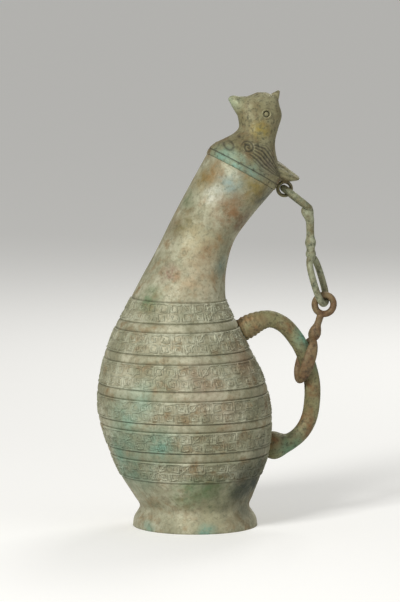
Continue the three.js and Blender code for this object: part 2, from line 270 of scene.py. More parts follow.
@dataclass(frozen=True)
class BronzePatina:
    """Leaded bronze, cast in moulds, long buried: a matt crust of copper and tin salts.

    The crust hides most of the metal, so it is rough with only a little metallic sheen, mottled in
    patches some 20 to 40 mm wide, with grains of about a millimetre. Its recesses are painted
    darker: partly soil, partly painted shade.
    """

    name: str
    ground: str
    pale: str
    stain: str
    speck: str
    crust: str = "#7C7152"
    # dark colour of the recesses: partly soil, partly painted shade
    soil_and_painted_shade: str = "#3C3A2E"
    patches: tuple[Patch, ...] = field(default_factory=tuple)
    mottle_mm: float = 30.0
    stain_mm: float = 14.0
    crust_mm: float = 5.5
    crust_share: float = 0.6
    speck_share: float = 0.75
    grain_mm: float = 1.6
    roughness: float = 0.62
    metallic: float = 0.25

    def build(self) -> bpy.types.Material:
        """Builds the material: mottled crust, stains, patches, specks, and soil with painted shade in the
        recesses.
        """
        material = bpy.data.materials.new(self.name)
        material.use_nodes = True
        tree = material.node_tree
        shader = tree.nodes["Principled BSDF"]
        place = node(tree, "ShaderNodeTexCoord").outputs["Object"]
        mottle = self.cloud(tree, place, self.mottle_mm, 0.42, 0.6)
        colour = blend(tree, mottle, linear(self.ground), linear(self.pale))
        stain = self.cloud(tree, place, self.stain_mm, 0.52, 0.7)
        colour = blend(tree, stain, colour, linear(self.stain))
        crust = self.cloud(tree, place, self.crust_mm, 0.46, 0.62)
        share = node(tree, "ShaderNodeMath", {0: crust, 1: self.crust_share}, operation="MULTIPLY")
        colour = blend(tree, share.outputs[0], colour, linear(self.crust))
        for patch in self.patches:
            colour = self.patch(tree, place, colour, patch)
        speck = self.cloud(tree, place, self.grain_mm * 2, 0.5, 0.68)
        share = node(tree, "ShaderNodeMath", {0: speck, 1: self.speck_share}, operation="MULTIPLY")
        colour = blend(tree, share.outputs[0], colour, linear(self.speck))
        # painted shade and soil: the recess mask darkens hollows, grooves and slits towards this colour
        recess = node(tree, "ShaderNodeAttribute", attribute_name="recess").outputs["Fac"]
        colour = blend(tree, recess, colour, linear(self.soil_and_painted_shade))
        tree.links.new(colour, shader.inputs["Base Color"])
        shader.inputs["Metallic"].default_value = self.metallic
        grain = self.cloud(tree, place, self.grain_mm, 0.3, 0.7)
        rough = node(tree, "ShaderNodeMapRange",
                     {0: grain, 3: self.roughness - 0.12, 4: self.roughness + 0.18})
        tree.links.new(rough.outputs[0], shader.inputs["Roughness"])
        bump = node(tree, "ShaderNodeBump", {"Height": grain, "Strength": 0.35, "Distance": 0.3 * MM})
        tree.links.new(bump.outputs[0], shader.inputs["Normal"])
        return material

    @staticmethod
    def cloud(tree: bpy.types.NodeTree, place: bpy.types.NodeSocket, size_mm: float, low: float,
              high: float) -> bpy.types.NodeSocket:
        """Noise of a real size, stretched so that low becomes 0 and high becomes 1.

        Args:
            tree: the material's nodes.
            place: the coordinates.
            size_mm: the width of one lump in mm.
            low: noise value that becomes 0.
            high: noise value that becomes 1.

        Returns:
            The stretched value.
        """
        noise = node(tree, "ShaderNodeTexNoise",
                     {"Vector": place, "Scale": 1 / (size_mm * MM), "Detail": 6.0, "Roughness": 0.62})
        return node(tree, "ShaderNodeMapRange", {0: noise.outputs["Fac"], 1: low, 2: high}).outputs[0]

    def patch(self, tree: bpy.types.NodeTree, place: bpy.types.NodeSocket, colour: bpy.types.NodeSocket,
              patch: Patch) -> bpy.types.NodeSocket:
        """One patch that fades with the distance from its place, with a broken edge: mostly a stain, in a
        few places a painted highlight.

        Args:
            tree: the material's nodes.
            place: the coordinates.
            colour: the colour so far.
            patch: the patch, mostly a stain, in a few places a painted highlight.

        Returns:
            The colour with the patch.
        """
        middle = tuple((np.array(patch.place) + [FOOT_X, 0, 0]) * MM)
        apart = node(tree, "ShaderNodeVectorMath", {0: place, 1: middle}, operation="DISTANCE")
        near = node(tree, "ShaderNodeMapRange", {0: apart.outputs["Value"], 1: patch.reach * MM,
                                                 2: 0.2 * patch.reach * MM})
        broken = self.cloud(tree, place, patch.reach * 0.5, 0.3, 0.6)
        share = node(tree, "ShaderNodeMath", {0: near.outputs[0], 1: broken}, operation="MULTIPLY")
        share = node(tree, "ShaderNodeMath", {0: share.outputs[0], 1: patch.strength}, operation="MULTIPLY")
        return blend(tree, share.outputs[0], colour, linear(patch.colour))


def node(tree: bpy.types.NodeTree, kind: str, inputs: dict | None = None,
         **settings: object) -> bpy.types.Node:
    """Adds a node with its settings and links.

    Args:
        tree: the material's nodes.
        kind: the node's type.
        inputs: socket name or number to a value or to another node's output.
        settings: the node's own settings.

    Returns:
        The new node.
    """
    made = tree.nodes.new(kind)
    for key, value in settings.items():
        setattr(made, key, value)
    for key, value in (inputs or {}).items():
        if isinstance(value, bpy.types.NodeSocket):
            tree.links.new(value, made.inputs[key])
        else:
            made.inputs[key].default_value = value
    return made


def blend(tree: bpy.types.NodeTree, share: bpy.types.NodeSocket, first: object,
          second: object) -> bpy.types.NodeSocket:
    """Mixes two colours.

    Args:
        tree: the material's nodes.
        share: how much of the second colour shows.
        first: a colour or a socket.
        second: a colour or a socket.

    Returns:
        The mixed colour.
    """
    mix = node(tree, "ShaderNodeMix", {0: share, 6: first, 7: second}, data_type="RGBA")
    return mix.outputs[2]


# Height, sideways place, radius and tilt of the stations up the vessel's centre line, as in the solids
STATIONS = np.array([
    (0, 0, 53.8, 0), (7, -0.1, 52.6, 0), (17, -0.5, 47.3, 0), (26, -1.5, 51.2, 0), (44, -3.7, 60.3, 0),
    (65, -5, 68.4, 0), (88, -7.8, 73.2, 0), (102, -9.4, 74.3, 0), (118, -11, 72.8, 0), (133, -12.3, 69.2, 0),
    (152, -14.7, 62.1, 0), (171, -15.9, 53.5, 0), (194, -14.9, 42, 1), (210, -10.5, 36.4, 7),
    (231, -3.2, 31.1, 13.5), (256, 7, 28.4, 20), (279, 21.3, 29.7, 25), (304.9, 39.5, 32.6, 29)])
MOUTH_Z, MOUTH_X, MOUTH_R, MOUTH_TILT = STATIONS[-1][[0, 1, 2, 3]]
NECK_AXIS = np.array([math.sin(math.radians(MOUTH_TILT)), 0, math.cos(math.radians(MOUTH_TILT))])
NECK_SIDE = np.array([NECK_AXIS[2], 0, -NECK_AXIS[0]])
MOUTH = flat(MOUTH_X, MOUTH_Z)


@dataclass
class Vessel:
    """The belly, bent neck and ring foot, with six bands of serpent relief."""

    wall: float = 2.8
    proud: float = 0.5
    foot_height: float = 16.0
    floor_height: float = 23.8
    bands: tuple[tuple[float, float], ...] = ((45.4, 63.2), (72, 89.6), (97.4, 116.2), (125.2, 146.6),
                                              (154.6, 172.4), (180.4, 196.8))
    relief: float = 1.5
    cell_width: float = 10.4
    ridge_pitch: float = 3.4
    border: float = 1.2
    plain_bulge: float = 0.6
    columns: int = 760

    def surface(self, z: np.ndarray, offset: np.ndarray, angle: np.ndarray) -> np.ndarray:
        """Rings round the leaning centre line, moved out along the wall's normal.

        A ring's middle slides back along the axis by offset times the sine of the wall's slope, and
        its radius grows by offset times the cosine.

        Args:
            z: height of each row.
            offset: distance out of the plain wall, by row or by point.
            angle: places round each ring.

        Returns:
            Points by row, by angle.
        """
        x, radius, tilt = hermite(STATIONS[:, 0], STATIONS[:, 1:], z).T
        step = 0.5
        above = hermite(STATIONS[:, 0], STATIONS[:, 2], z + step)[:, 0]
        below = hermite(STATIONS[:, 0], STATIONS[:, 2], z - step)[:, 0]
        tilt = np.radians(tilt)
        steep = np.arctan((above - below) / (2 * step) * np.cos(tilt))[:, None]
        zero = np.zeros_like(tilt)
        axis = np.stack([np.sin(tilt), zero, np.cos(tilt)], -1)[:, None]
        side = np.stack([np.cos(tilt), zero, -np.sin(tilt)], -1)[:, None]
        offset = np.broadcast_to(offset if np.ndim(offset) == 2 else np.reshape(offset, (-1, 1)),
                                 (len(z), len(angle)))
        reach = (radius[:, None] + offset * np.cos(steep))[..., None]
        centre = np.stack([x, zero, z], -1)[:, None] - axis * (offset * np.sin(steep))[..., None]
        return centre + reach * (np.cos(angle)[None, :, None] * side + np.sin(angle)[None, :, None] * Y_AXIS)

    def plain_wall(self) -> Shell:
        """The smooth wall: out over the foot, up to the lip, down inside and under the floor."""
        angle = np.linspace(0, 2 * np.pi, 160, endpoint=False)
        outer = np.concatenate([np.linspace(0, 30, 24), np.linspace(30.6, MOUTH_Z, 440)])
        groove = sum(np.exp(-((outer - edge) / 0.9) ** 2) for band in self.bands for edge in band)
        bulge = np.zeros_like(outer)
        for (_, low), (high, _) in zip(self.bands[:-1], self.bands[1:]):
            bulge += self.plain_bulge * np.sin(np.pi * np.clip((outer - low) / (high - low), 0, 1))
        shell = Shell()
        rows = [self.surface(outer, bulge - 0.8 * groove, angle)]
        lip = self.surface(np.array([MOUTH_Z]), np.array([-self.wall / 2]), angle) + NECK_AXIS * 0.2
        rows.append(lip)
        inner = np.linspace(MOUTH_Z, self.floor_height, 60)
        rows.append(self.surface(inner, np.full(60, -self.wall), angle))
        floor = np.array([self.floor_height, self.foot_height])
        middle = self.surface(floor, -hermite(STATIONS[:, 0], STATIONS[:, 2], floor)[:, 0] + 0.3, angle)
        middle[:, :, 2] = floor[:, None]
        rows.append(middle)
        under = np.linspace(self.foot_height, 0, 10)
        hollow = self.surface(under, np.full(10, -self.wall), angle)
        hollow[:, :, 2] = under[:, None]
        rows.append(hollow)
        grid = np.vstack(rows)
        # painted shade and soil: the grooves at the band edges get half-strength recess, so the finish
        # darkens them
        recess = np.zeros(grid.shape[:2])
        recess[:len(outer)] = np.clip(groove, 0, 1)[:, None] * 0.5
        shell.add(grid, loop=True, recess=recess)
        return shell

    def scrolls(self, along_mm: np.ndarray, up_mm: np.ndarray, height: float) -> np.ndarray:
        """Height of the interlaced serpents, from 0 in the ground to 1 on the ridges.

        Two rows of square cells, each with a curl that turns the other way from its neighbours. The
        curl's ridge is the cosine of the larger sideways distance over the ridge pitch less the angle,
        so that it winds in as a square spiral. Upright, level and slanting bars join the curls into
        bodies, and some curls have a pit for an eye.

        Args:
            along_mm: distance round the band.
            up_mm: height above the band's lower edge.
            height: the band's full height.

        Returns:
            The height of each point.
        """
        cell_high = (height - 2 * self.border) / 2
        column = np.floor(along_mm / self.cell_width)
        row = np.clip(np.floor((up_mm - self.border) / cell_high), 0, 1)
        chance = np.modf(np.abs(np.sin(column * 12.99 % 97 + row * 78.23) * 43758.5))[0]
        dx = along_mm - (column + 0.5) * self.cell_width + (chance - 0.5)
        dy = up_mm - self.border - (row + 0.5) * cell_high
        sign = 1 - 2 * ((column + row) % 2)
        far = np.maximum(np.abs(dx), np.abs(dy) * 1.15)
        turn = np.arctan2(dy, dx * sign)
        curl = 0.5 + 0.5 * np.cos(2 * np.pi * far / self.ridge_pitch - turn + chance)
        curl = curl * np.clip((self.cell_width * 0.46 - far) / 0.8, 0, 1)
        upright = np.clip(1.5 - np.abs(dx - sign * self.cell_width * 0.47) / 0.7, 0, 1)
        level = np.clip(1.5 - np.abs(dy + sign * cell_high * 0.46) / 0.7, 0, 1) * (chance > 0.35)
        slant = np.clip(1.4 - np.abs(dx + sign * dy) / 0.9, 0, 1) * (chance > 0.72)
        high = np.maximum(np.maximum(curl, slant), np.maximum(upright, level))
        pit = np.exp(-((np.hypot(dx, dy) / 1.15) ** 2)) * (chance < 0.5)
        return high - 1.5 * pit

    def relief_band(self, low: float, high: float) -> Shell:
        """A closed belt round the wall with the serpents raised on its outside.

        Args:
            low: height of its lower edge.
            high: height of its upper edge.

        Returns:
            The belt.
        """
        rows = int((high - low) / 0.42)
        z = np.linspace(low, high, rows)
        angle = np.linspace(0, 2 * np.pi, self.columns, endpoint=False)
        radius = float(hermite(STATIONS[:, 0], STATIONS[:, 2], np.array([(low + high) / 2]))[0, 0])
        cells = 2 * round(np.pi * radius / self.cell_width)
        along_mm, up_mm = np.meshgrid(angle / (2 * np.pi) * cells * self.cell_width, z - low)
        height = self.scrolls(along_mm, up_mm, high - low)
        rng = np.random.default_rng(SEED + int(low))
        wear = sum(np.cos(k * angle + rng.uniform(0, 6))[None] * np.cos(0.3 * k * up_mm + rng.uniform(0, 6))
                   for k in rng.integers(5, 60, 14)) / 14
        height = np.clip(height * (0.9 + 0.9 * wear), -0.8, 1)
        edge = np.minimum(up_mm, high - low - up_mm)
        height = np.where(edge < self.border, 0.9, height)
        seam = np.abs((along_mm + 5) % (4 * self.cell_width) - 2 * self.cell_width) < 0.4
        height = np.where(seam & (edge > self.border), height * 0.4, height)
        offset = np.where(edge < 0.01, -0.2, self.relief * (height - 0.5) + 0.25)
        outer = self.surface(z, offset, angle)
        inner = self.surface(z[[-1, 0]], np.array([-1.2, -1.2]), angle)
        shell = Shell()
        # painted shade and soil: the lower the relief ground, the darker the finish paints it
        recess = np.vstack([np.clip(0.8 - height, 0, 1), np.zeros((2, self.columns))])
        shell.add(np.concatenate([outer, inner]), loop=True, recess=recess)
        return shell

    def build(self, finish: bpy.types.Material, relief_finish: bpy.types.Material) -> None:
        """Builds the wall and its relief bands."""
        wall = self.plain_wall().build("vessel_wall", finish, "vessel", Slot.GREEN)
        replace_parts(wall, "vessel_body")
        for number, (low, high) in enumerate(self.bands, 1):
            self.relief_band(low, high).build(f"relief_band_{number}", relief_finish, "vessel", Slot.GREEN)


@dataclass
class Handle:
    """The serpent handle: beast-headed root above, round boss below, open slit on its inside."""

    path: tuple[tuple[float, float], ...] = (
        (34, 164), (45, 170.4), (56, 175.6), (66.5, 177.2), (78, 172), (87.4, 161.8), (94.5, 150),
        (99.8, 136), (103.2, 121), (103.4, 106), (100.9, 91), (95, 79.5), (86, 71.5), (76, 68), (58, 66.4))
    thick: float = 7.0
    broad: float = 6.6
    root_swell: float = 3.0
    boss_swell: float = 5.2
    slit: tuple[float, float] = (0.36, 0.62)
    rows: int = 260
    count: int = 72

    def build(self, finish: bpy.types.Material) -> None:
        """Sweeps the section along the arc, with the slit pressed in and snout ridges on the root."""
        knots = np.arange(len(self.path), dtype=float)
        fine = hermite(knots, np.array(self.path), np.linspace(0, knots[-1], 2000))
        run = np.concatenate([[0], np.cumsum(np.linalg.norm(np.diff(fine, axis=0), axis=1))])
        t = np.linspace(0.035, 0.985, self.rows)
        middle = np.stack([np.interp(t * run[-1], run, fine[:, k]) for k in (0, 1)], -1)
        path = np.insert(middle, 1, 0, axis=1)
        root = np.exp(-(((t - 0.07) / 0.08) ** 2))
        boss = np.exp(-(((t - 0.94) / 0.05) ** 2))
        rings = 0.35 * root * np.cos(2 * np.pi * t / 0.022)
        broad = self.broad + self.root_swell * root + self.boss_swell * boss + rings
        thick = self.thick + self.root_swell * root + self.boss_swell * boss + rings
        grid = sweep(path, Y_AXIS, broad, thick, False, self.count)
        middle_line = path[:, None]
        inward = unit(np.array([-1.0, 0, 0]) + 0 * path)[:, None]
        away = grid - middle_line
        facing = np.einsum("ijk,ijk->ij", away, np.broadcast_to(inward, away.shape)) > self.thick * 0.55
        near = np.abs(away[..., 1]) < 2.0
        inside = (t > self.slit[0]) & (t < self.slit[1])
        cut = facing & near & inside[:, None]
        grid = np.where(cut[..., None], middle_line + away * 0.52, grid)
        shell = Shell()
        # painted shade: the pressed-in slit is marked as a recess, so the finish paints it dark
        shell.add(grid, recess=cut * 0.8)
        piece = shell.build("serpent_handle", finish, "vessel", Slot.OLIVE)
        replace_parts(piece, "handle")


@dataclass
class Bird:
    """The lid: rim band, spigot, and a bird with wings, eyes, beak, ear tuft, tail and ring lug."""

    sections: tuple[tuple[float, float, float, float, float], ...] = (
        (11.4, 322.6, 70.8, 291.6, 33.2), (13.2, 326.4, 73.2, 296.5, 32.6), (18.5, 330.5, 74.5, 303, 31),
        (26, 334, 72, 313, 27), (34, 338.2, 69.8, 323, 21.5), (38.4, 343, 69.8, 332, 17.5),
        (38.2, 349, 72.6, 342.5, 15), (36.8, 355.5, 75.6, 353, 13.8), (36.6, 363, 73.6, 362, 12.6),
        (41, 367.8, 71.8, 368.5, 9.6), (49, 371.2, 67, 371.4, 5.6),
        (54, 373.2, 62, 373.2, 2))
    shoulder: tuple[float, float] = (41.5, 328.0)
    shoulder_reach: float = 6.0
    spiral_pitch: float = 2.8
    wing: tuple[float, float] = (47.0, 324.0)
    wing_low: tuple[tuple[float, float], ...] = ((-9, 0), (-6, -8), (13, -9.2), (30, -2.7), (40, -2))
    wing_high: tuple[tuple[float, float], ...] = (
        (-9, 0), (-3.5, 8), (5, 12.9), (13, 11), (21, 6.8), (32, 1.5), (40, 1))
    quills: float = 7.0
    chest: tuple[float, float] = (26.0, 329.5)
    wing_height: float = 1.4
    eye: tuple[float, float] = (59.4, 355.4)
    eye_ring: float = 3.7
    lug: tuple[float, float] = (78.4, 290.0)
    lug_ring: float = 5.9
    rim_height: float = 5.0
    spigot_depth: float = 12.0

    def wings(self, grid: np.ndarray) -> tuple[np.ndarray, np.ndarray]:
        """Raised wing on each flank, with the chest scroll, the rim's groove and the eye's hollow.

        The shoulder spiral's ridge is the cosine of the distance over a pitch less the angle. The wing
        lies between a lower and an upper edge, measured across its length, and its quills are a cosine
        of the place between them, so that they draw together towards the tail.

        Args:
            grid: the bird's smooth surface.

        Returns:
            How far each point is raised, and how deep it lies in a groove.
        """
        x, y, z = grid[..., 0], grid[..., 1], grid[..., 2]
        dx, dz = x - self.shoulder[0], z - self.shoulder[1]
        far = np.hypot(dx, dz)
        spiral = 0.5 + 0.5 * np.cos(2 * np.pi * far / self.spiral_pitch - np.arctan2(dz, dx))
        in_spiral = np.clip((self.shoulder_reach - far) / 0.8, 0, 1)
        dx, dz = x - self.wing[0], z - self.wing[1]
        along = dx * 0.72 - dz * 0.69
        across = dx * 0.69 + dz * 0.72
        low = np.interp(along, *np.array(self.wing_low).T)
        high = np.interp(along, *np.array(self.wing_high).T)
        inset = np.minimum(across - low, high - across)
        in_wing = np.clip(inset / 0.8, 0, 1) * np.clip((40 - along) / 4, 0, 1) * (1 - in_spiral)
        quills = 0.5 + 0.5 * np.cos(2 * np.pi * self.quills * (across - low) / np.maximum(high - low, 1))
        feather = np.maximum(quills, np.exp(-(((inset - 1) / 0.8) ** 2)))
        flank = np.clip((np.abs(y) - 7) / 4, 0, 1)
        chest = np.hypot(x - self.chest[0], z - self.chest[1])
        scroll = np.exp(-(((chest - 5.4) / 0.8) ** 2)) + np.exp(-((chest / 1.4) ** 2))
        dot = np.exp(-((np.hypot(x - 36, z - 336.5) / 1.2) ** 2))
        above = (x - MOUTH_X) * NECK_AXIS[0] + (z - MOUTH_Z) * NECK_AXIS[2]
        line = np.exp(-(((above - self.rim_height - 0.4) / 0.45) ** 2))
        eye = np.exp(-(((np.hypot(x - self.eye[0], z - self.eye[1]) - 2.7) / 0.7) ** 2))
        raised = in_spiral * spiral + in_wing * (0.35 + 0.65 * feather)
        rise = flank * (self.wing_height * raised + 0.8 * scroll)
        # painted shade and soil: wing and spiral grooves, chest ring, dot, eye hollow and rim line are
        # marked for darkening
        groove = flank * (in_spiral * (1 - spiral) + in_wing * (1 - feather)) * 0.8
        ring = np.exp(-(((chest - 3.6) / 0.8) ** 2))
        groove = groove + flank * (0.7 * ring + 0.9 * dot + eye) + 0.9 * line
        return rise - 0.8 * flank * dot - 0.5 * line, np.clip(groove, 0, 1)

    def build(self, finish: bpy.types.Material) -> None:
        """Builds the lid and hangs it on its own body."""
        shell = Shell()
        table = np.array(self.sections)
        rows = hermite(np.arange(len(table), dtype=float), table, np.linspace(0, len(table) - 1, 150))
        front = np.stack([rows[:, 0], 0 * rows[:, 0], rows[:, 1]], -1)
        back = np.stack([rows[:, 2], 0 * rows[:, 0], rows[:, 3]], -1)
        reach = np.linalg.norm(back - front, axis=1) / 2
        grid = ellipse((front + back) / 2, unit(back - front), Y_AXIS, reach, rows[:, 4], 220)
        rise, groove = self.wings(grid)
        outward = unit(grid - ((front + back) / 2)[:, None])
        shell.add(grid + outward * rise[..., None], recess=groove)
        self.add_head(shell)
        self.add_rim(shell)
        tail = np.array([(64, 309, 9, 20), (74, 304.4, 7.4, 17), (82, 301.2, 5, 14), (89, 299.2, 2.2, 11)])
        self.add_loft(shell, tail, np.array([0.25, 0, 0.97]), ribs=9)
        turn = np.linspace(0, 2 * np.pi, 64, endpoint=False)
        ring = flat(*self.lug) + self.lug_ring * np.stack([np.cos(turn), 0 * turn, np.sin(turn)], -1)
        shell.add(sweep(ring, Y_AXIS, np.full(64, 2.9), np.full(64, 1.5), True, 20), loop=True)
        piece = shell.build("bird_lid", finish, "lid", Slot.OLIVE)
        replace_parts(piece, "lid")

    def add_loft(self, shell: Shell, table: np.ndarray, up: np.ndarray, ribs: int = 0) -> None:
        """Adds a tapering form through ellipses, with ribs across its breadth where asked.

        Args:
            shell: what it joins.
            table: x, z, half height and half breadth of each section.
            up: direction of the sections' height.
            ribs: number of feather ribs across the breadth.
        """
        rows = hermite(np.arange(len(table), dtype=float), table, np.linspace(0, len(table) - 1, 40))
        centre = np.stack([rows[:, 0], 0 * rows[:, 0], rows[:, 1]], -1)
        swell = np.cos(np.linspace(0, 2 * np.pi, 80, endpoint=False) * ribs)[None, :, None] if ribs else 0
        grid = ellipse(centre, unit(up), Y_AXIS, rows[:, 2], rows[:, 3], 80)
        away = grid - centre[:, None]
        shell.add(centre[:, None] + away * (1 + 0.04 * swell))

    def add_head(self, shell: Shell) -> None:
        """Adds the heavy beak, the pointed ear tuft and the ringed eyes."""
        beak = np.array([(48, 360, 10, 9.5), (39, 361, 9, 7.6), (34, 364.6, 6.2, 5.4),
                         (30.6, 367.2, 2.8, 2.8), (29.2, 367.6, 1, 1)])
        self.add_loft(shell, beak, np.array([0, 0, 1]))
        ear = np.array([(64, 362, 6.5, 5), (69.5, 369, 4.2, 3.2), (73.4, 374.4, 1, 0.9)])
        self.add_loft(shell, ear, np.array([-0.8, 0, 0.6]))
        turn = np.linspace(0, 2 * np.pi, 48, endpoint=False)
        for side in (-1, 1):
            middle = np.array([self.eye[0], side * 13.9, self.eye[1]])
            ring = middle + self.eye_ring * np.stack([np.cos(turn), 0 * turn, np.sin(turn)], -1)
            shell.add(sweep(ring, Y_AXIS, np.full(48, 1.0), np.full(48, 0.9), True, 14), loop=True)
            lift = np.linspace(-np.pi / 2 + 0.05, np.pi / 2 - 0.05, 16)
            centre = middle + np.outer(1.5 * np.sin(lift), Y_AXIS)
            shell.add(ellipse(centre, flat(1, 0), flat(0, 1), 1.9 * np.cos(lift), 1.9 * np.cos(lift), 24))

    def add_rim(self, shell: Shell) -> None:
        """Adds the plain rim band and the spigot that reaches into the neck."""
        top = MOUTH_R - 2.8 - 0.7
        profile = np.array([(0.3, top), (0.3, MOUTH_R + 0.2), (0.8, MOUTH_R + 0.7), (4.4, MOUTH_R + 1.0),
                            (5, MOUTH_R + 0.4), (5.6, MOUTH_R - 1.6), (4.6, 26), (-self.spigot_depth, 25.2),
                            (-self.spigot_depth, 27.2)])
        centre = MOUTH + np.outer(profile[:, 0], NECK_AXIS)
        shell.add(ellipse(centre, NECK_SIDE, Y_AXIS, profile[:, 1], profile[:, 1], 160), loop=True)


@dataclass
class Chain:
    """Two double-eyed links from the lid's lug to the handle."""

    strand: float = 2.9
    play: float = 1.0
    lug: tuple[float, float] = (78.4, 290.0)
    knuckle: tuple[float, float] = (100.0, 273.0)
    split: tuple[float, float] = (102.0, 230.0)
    knee: tuple[float, float] = (114.1, 190.0)
    eye: tuple[float, float] = (97.3, 140.0)
    knee_half: float = 9.6
    knee_turn: float = 0.56
    eye_half: float = 11.9
    eye_above: float = 19.4
    eye_below: float = 17.2
    ring_hole: float = 5.4

    def loop(self, start: np.ndarray, aim: np.ndarray, across: np.ndarray, length: float,
             half: float) -> np.ndarray:
        """A rounded oblong: sine and cosine raised to the power 0.8, keeping their signs.

        Args:
            start: where the loop begins.
            aim: direction of its length.
            across: direction of its breadth.
            length: its length.
            half: its half breadth.

        Returns:
            Points round the loop.
        """
        a = np.linspace(0, 2 * np.pi, 96, endpoint=False)
        reach = length / 2 * (1 - np.sign(np.cos(a)) * np.abs(np.cos(a)) ** 0.8)
        wide = half * np.sign(np.sin(a)) * np.abs(np.sin(a)) ** 0.8
        return start + np.outer(reach, aim) + np.outer(wide, across)

    def shank(self, shell: Shell, start: np.ndarray, end: np.ndarray, radii: np.ndarray) -> None:
        """Adds a turned shank whose radius follows a smooth curve through the given radii.

        Args:
            shell: what it joins.
            start: one end.
            end: the other end.
            radii: radius at even steps between the ends.
        """
        t = np.linspace(0, 1, 48)
        radius = hermite(np.linspace(0, 1, len(radii)), radii, t)[:, 0]
        aim = unit(end - start)
        centre = start + np.outer(t, end - start)
        shell.add(ellipse(centre, Y_AXIS, unit(np.cross(aim, Y_AXIS)), radius, radius, 28))

    def build(self, upper_finish: bpy.types.Material, lower_finish: bpy.types.Material) -> None:
        """Builds both links and hangs each on its own body."""
        places = (self.lug, self.knuckle, self.split, self.knee, self.eye)
        lug, knuckle, split, knee, eye = (flat(*place) for place in places)
        plain = np.full(96, self.strand)
        upper = Shell()
        aim = unit(knuckle - lug)
        hang = lug - aim * self.play
        path = self.loop(hang, aim, Y_AXIS, float(np.linalg.norm(knuckle - hang)), 3 + self.strand + 1.7)
        upper.add(sweep(path, unit(np.cross(aim, Y_AXIS)), plain, plain, True, 20), loop=True)
        aim = unit(knee - split)
        across = self.knee_turn * np.cross(aim, Y_AXIS) + math.sqrt(1 - self.knee_turn**2) * Y_AXIS
        path = self.loop(split, aim, across, float(np.linalg.norm(knee - split)), self.knee_half)
        upper.add(sweep(path, unit(np.cross(aim, across)), plain, plain, True, 20), loop=True)
        self.shank(upper, knuckle + [-3.2, 0, 3.2], flat(101, 262), np.array([1.5, 4.8, 5.3, 4.3, 3.7]))
        self.shank(upper, flat(100.9, 264), split - [0, 0, 3],
                   np.array([3.7, 3.5, 3.4, 3.6, 4.8, 3.6, 4.4, 1.5]))
        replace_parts(upper.build("upper_link", upper_finish, "upper_link", Slot.GREEN), "chain_link_upper")
        lower = Shell()
        aim = unit(eye - knee)
        turn = np.linspace(0, 2 * np.pi, 72, endpoint=False)
        radius = self.ring_hole + self.strand
        ring = knee + aim + radius * np.stack([np.cos(turn), 0 * turn, np.sin(turn)], -1)
        plain_ring = np.full(72, self.strand)
        lower.add(sweep(ring, Y_AXIS, plain_ring, plain_ring, True, 20), loop=True)
        start = eye - aim * self.eye_above
        path = self.loop(start, aim, Y_AXIS, self.eye_above + self.eye_below, self.eye_half)
        strap = self.strand + 2.6 * np.sin(np.linspace(0, 4 * np.pi, 96, endpoint=False) / 2) ** 2
        lower.add(sweep(path, unit(np.cross(aim, Y_AXIS)), strap, plain, True, 24), loop=True)
        self.shank(lower, knee + aim * radius, start + aim,
                   np.array([2.9, 3.1, 3.0, 3.2, 4.6, 5.4, 4.8, 2.4]))
        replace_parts(lower.build("lower_link", lower_finish, "lower_link", Slot.BROWN), "chain_link_lower")


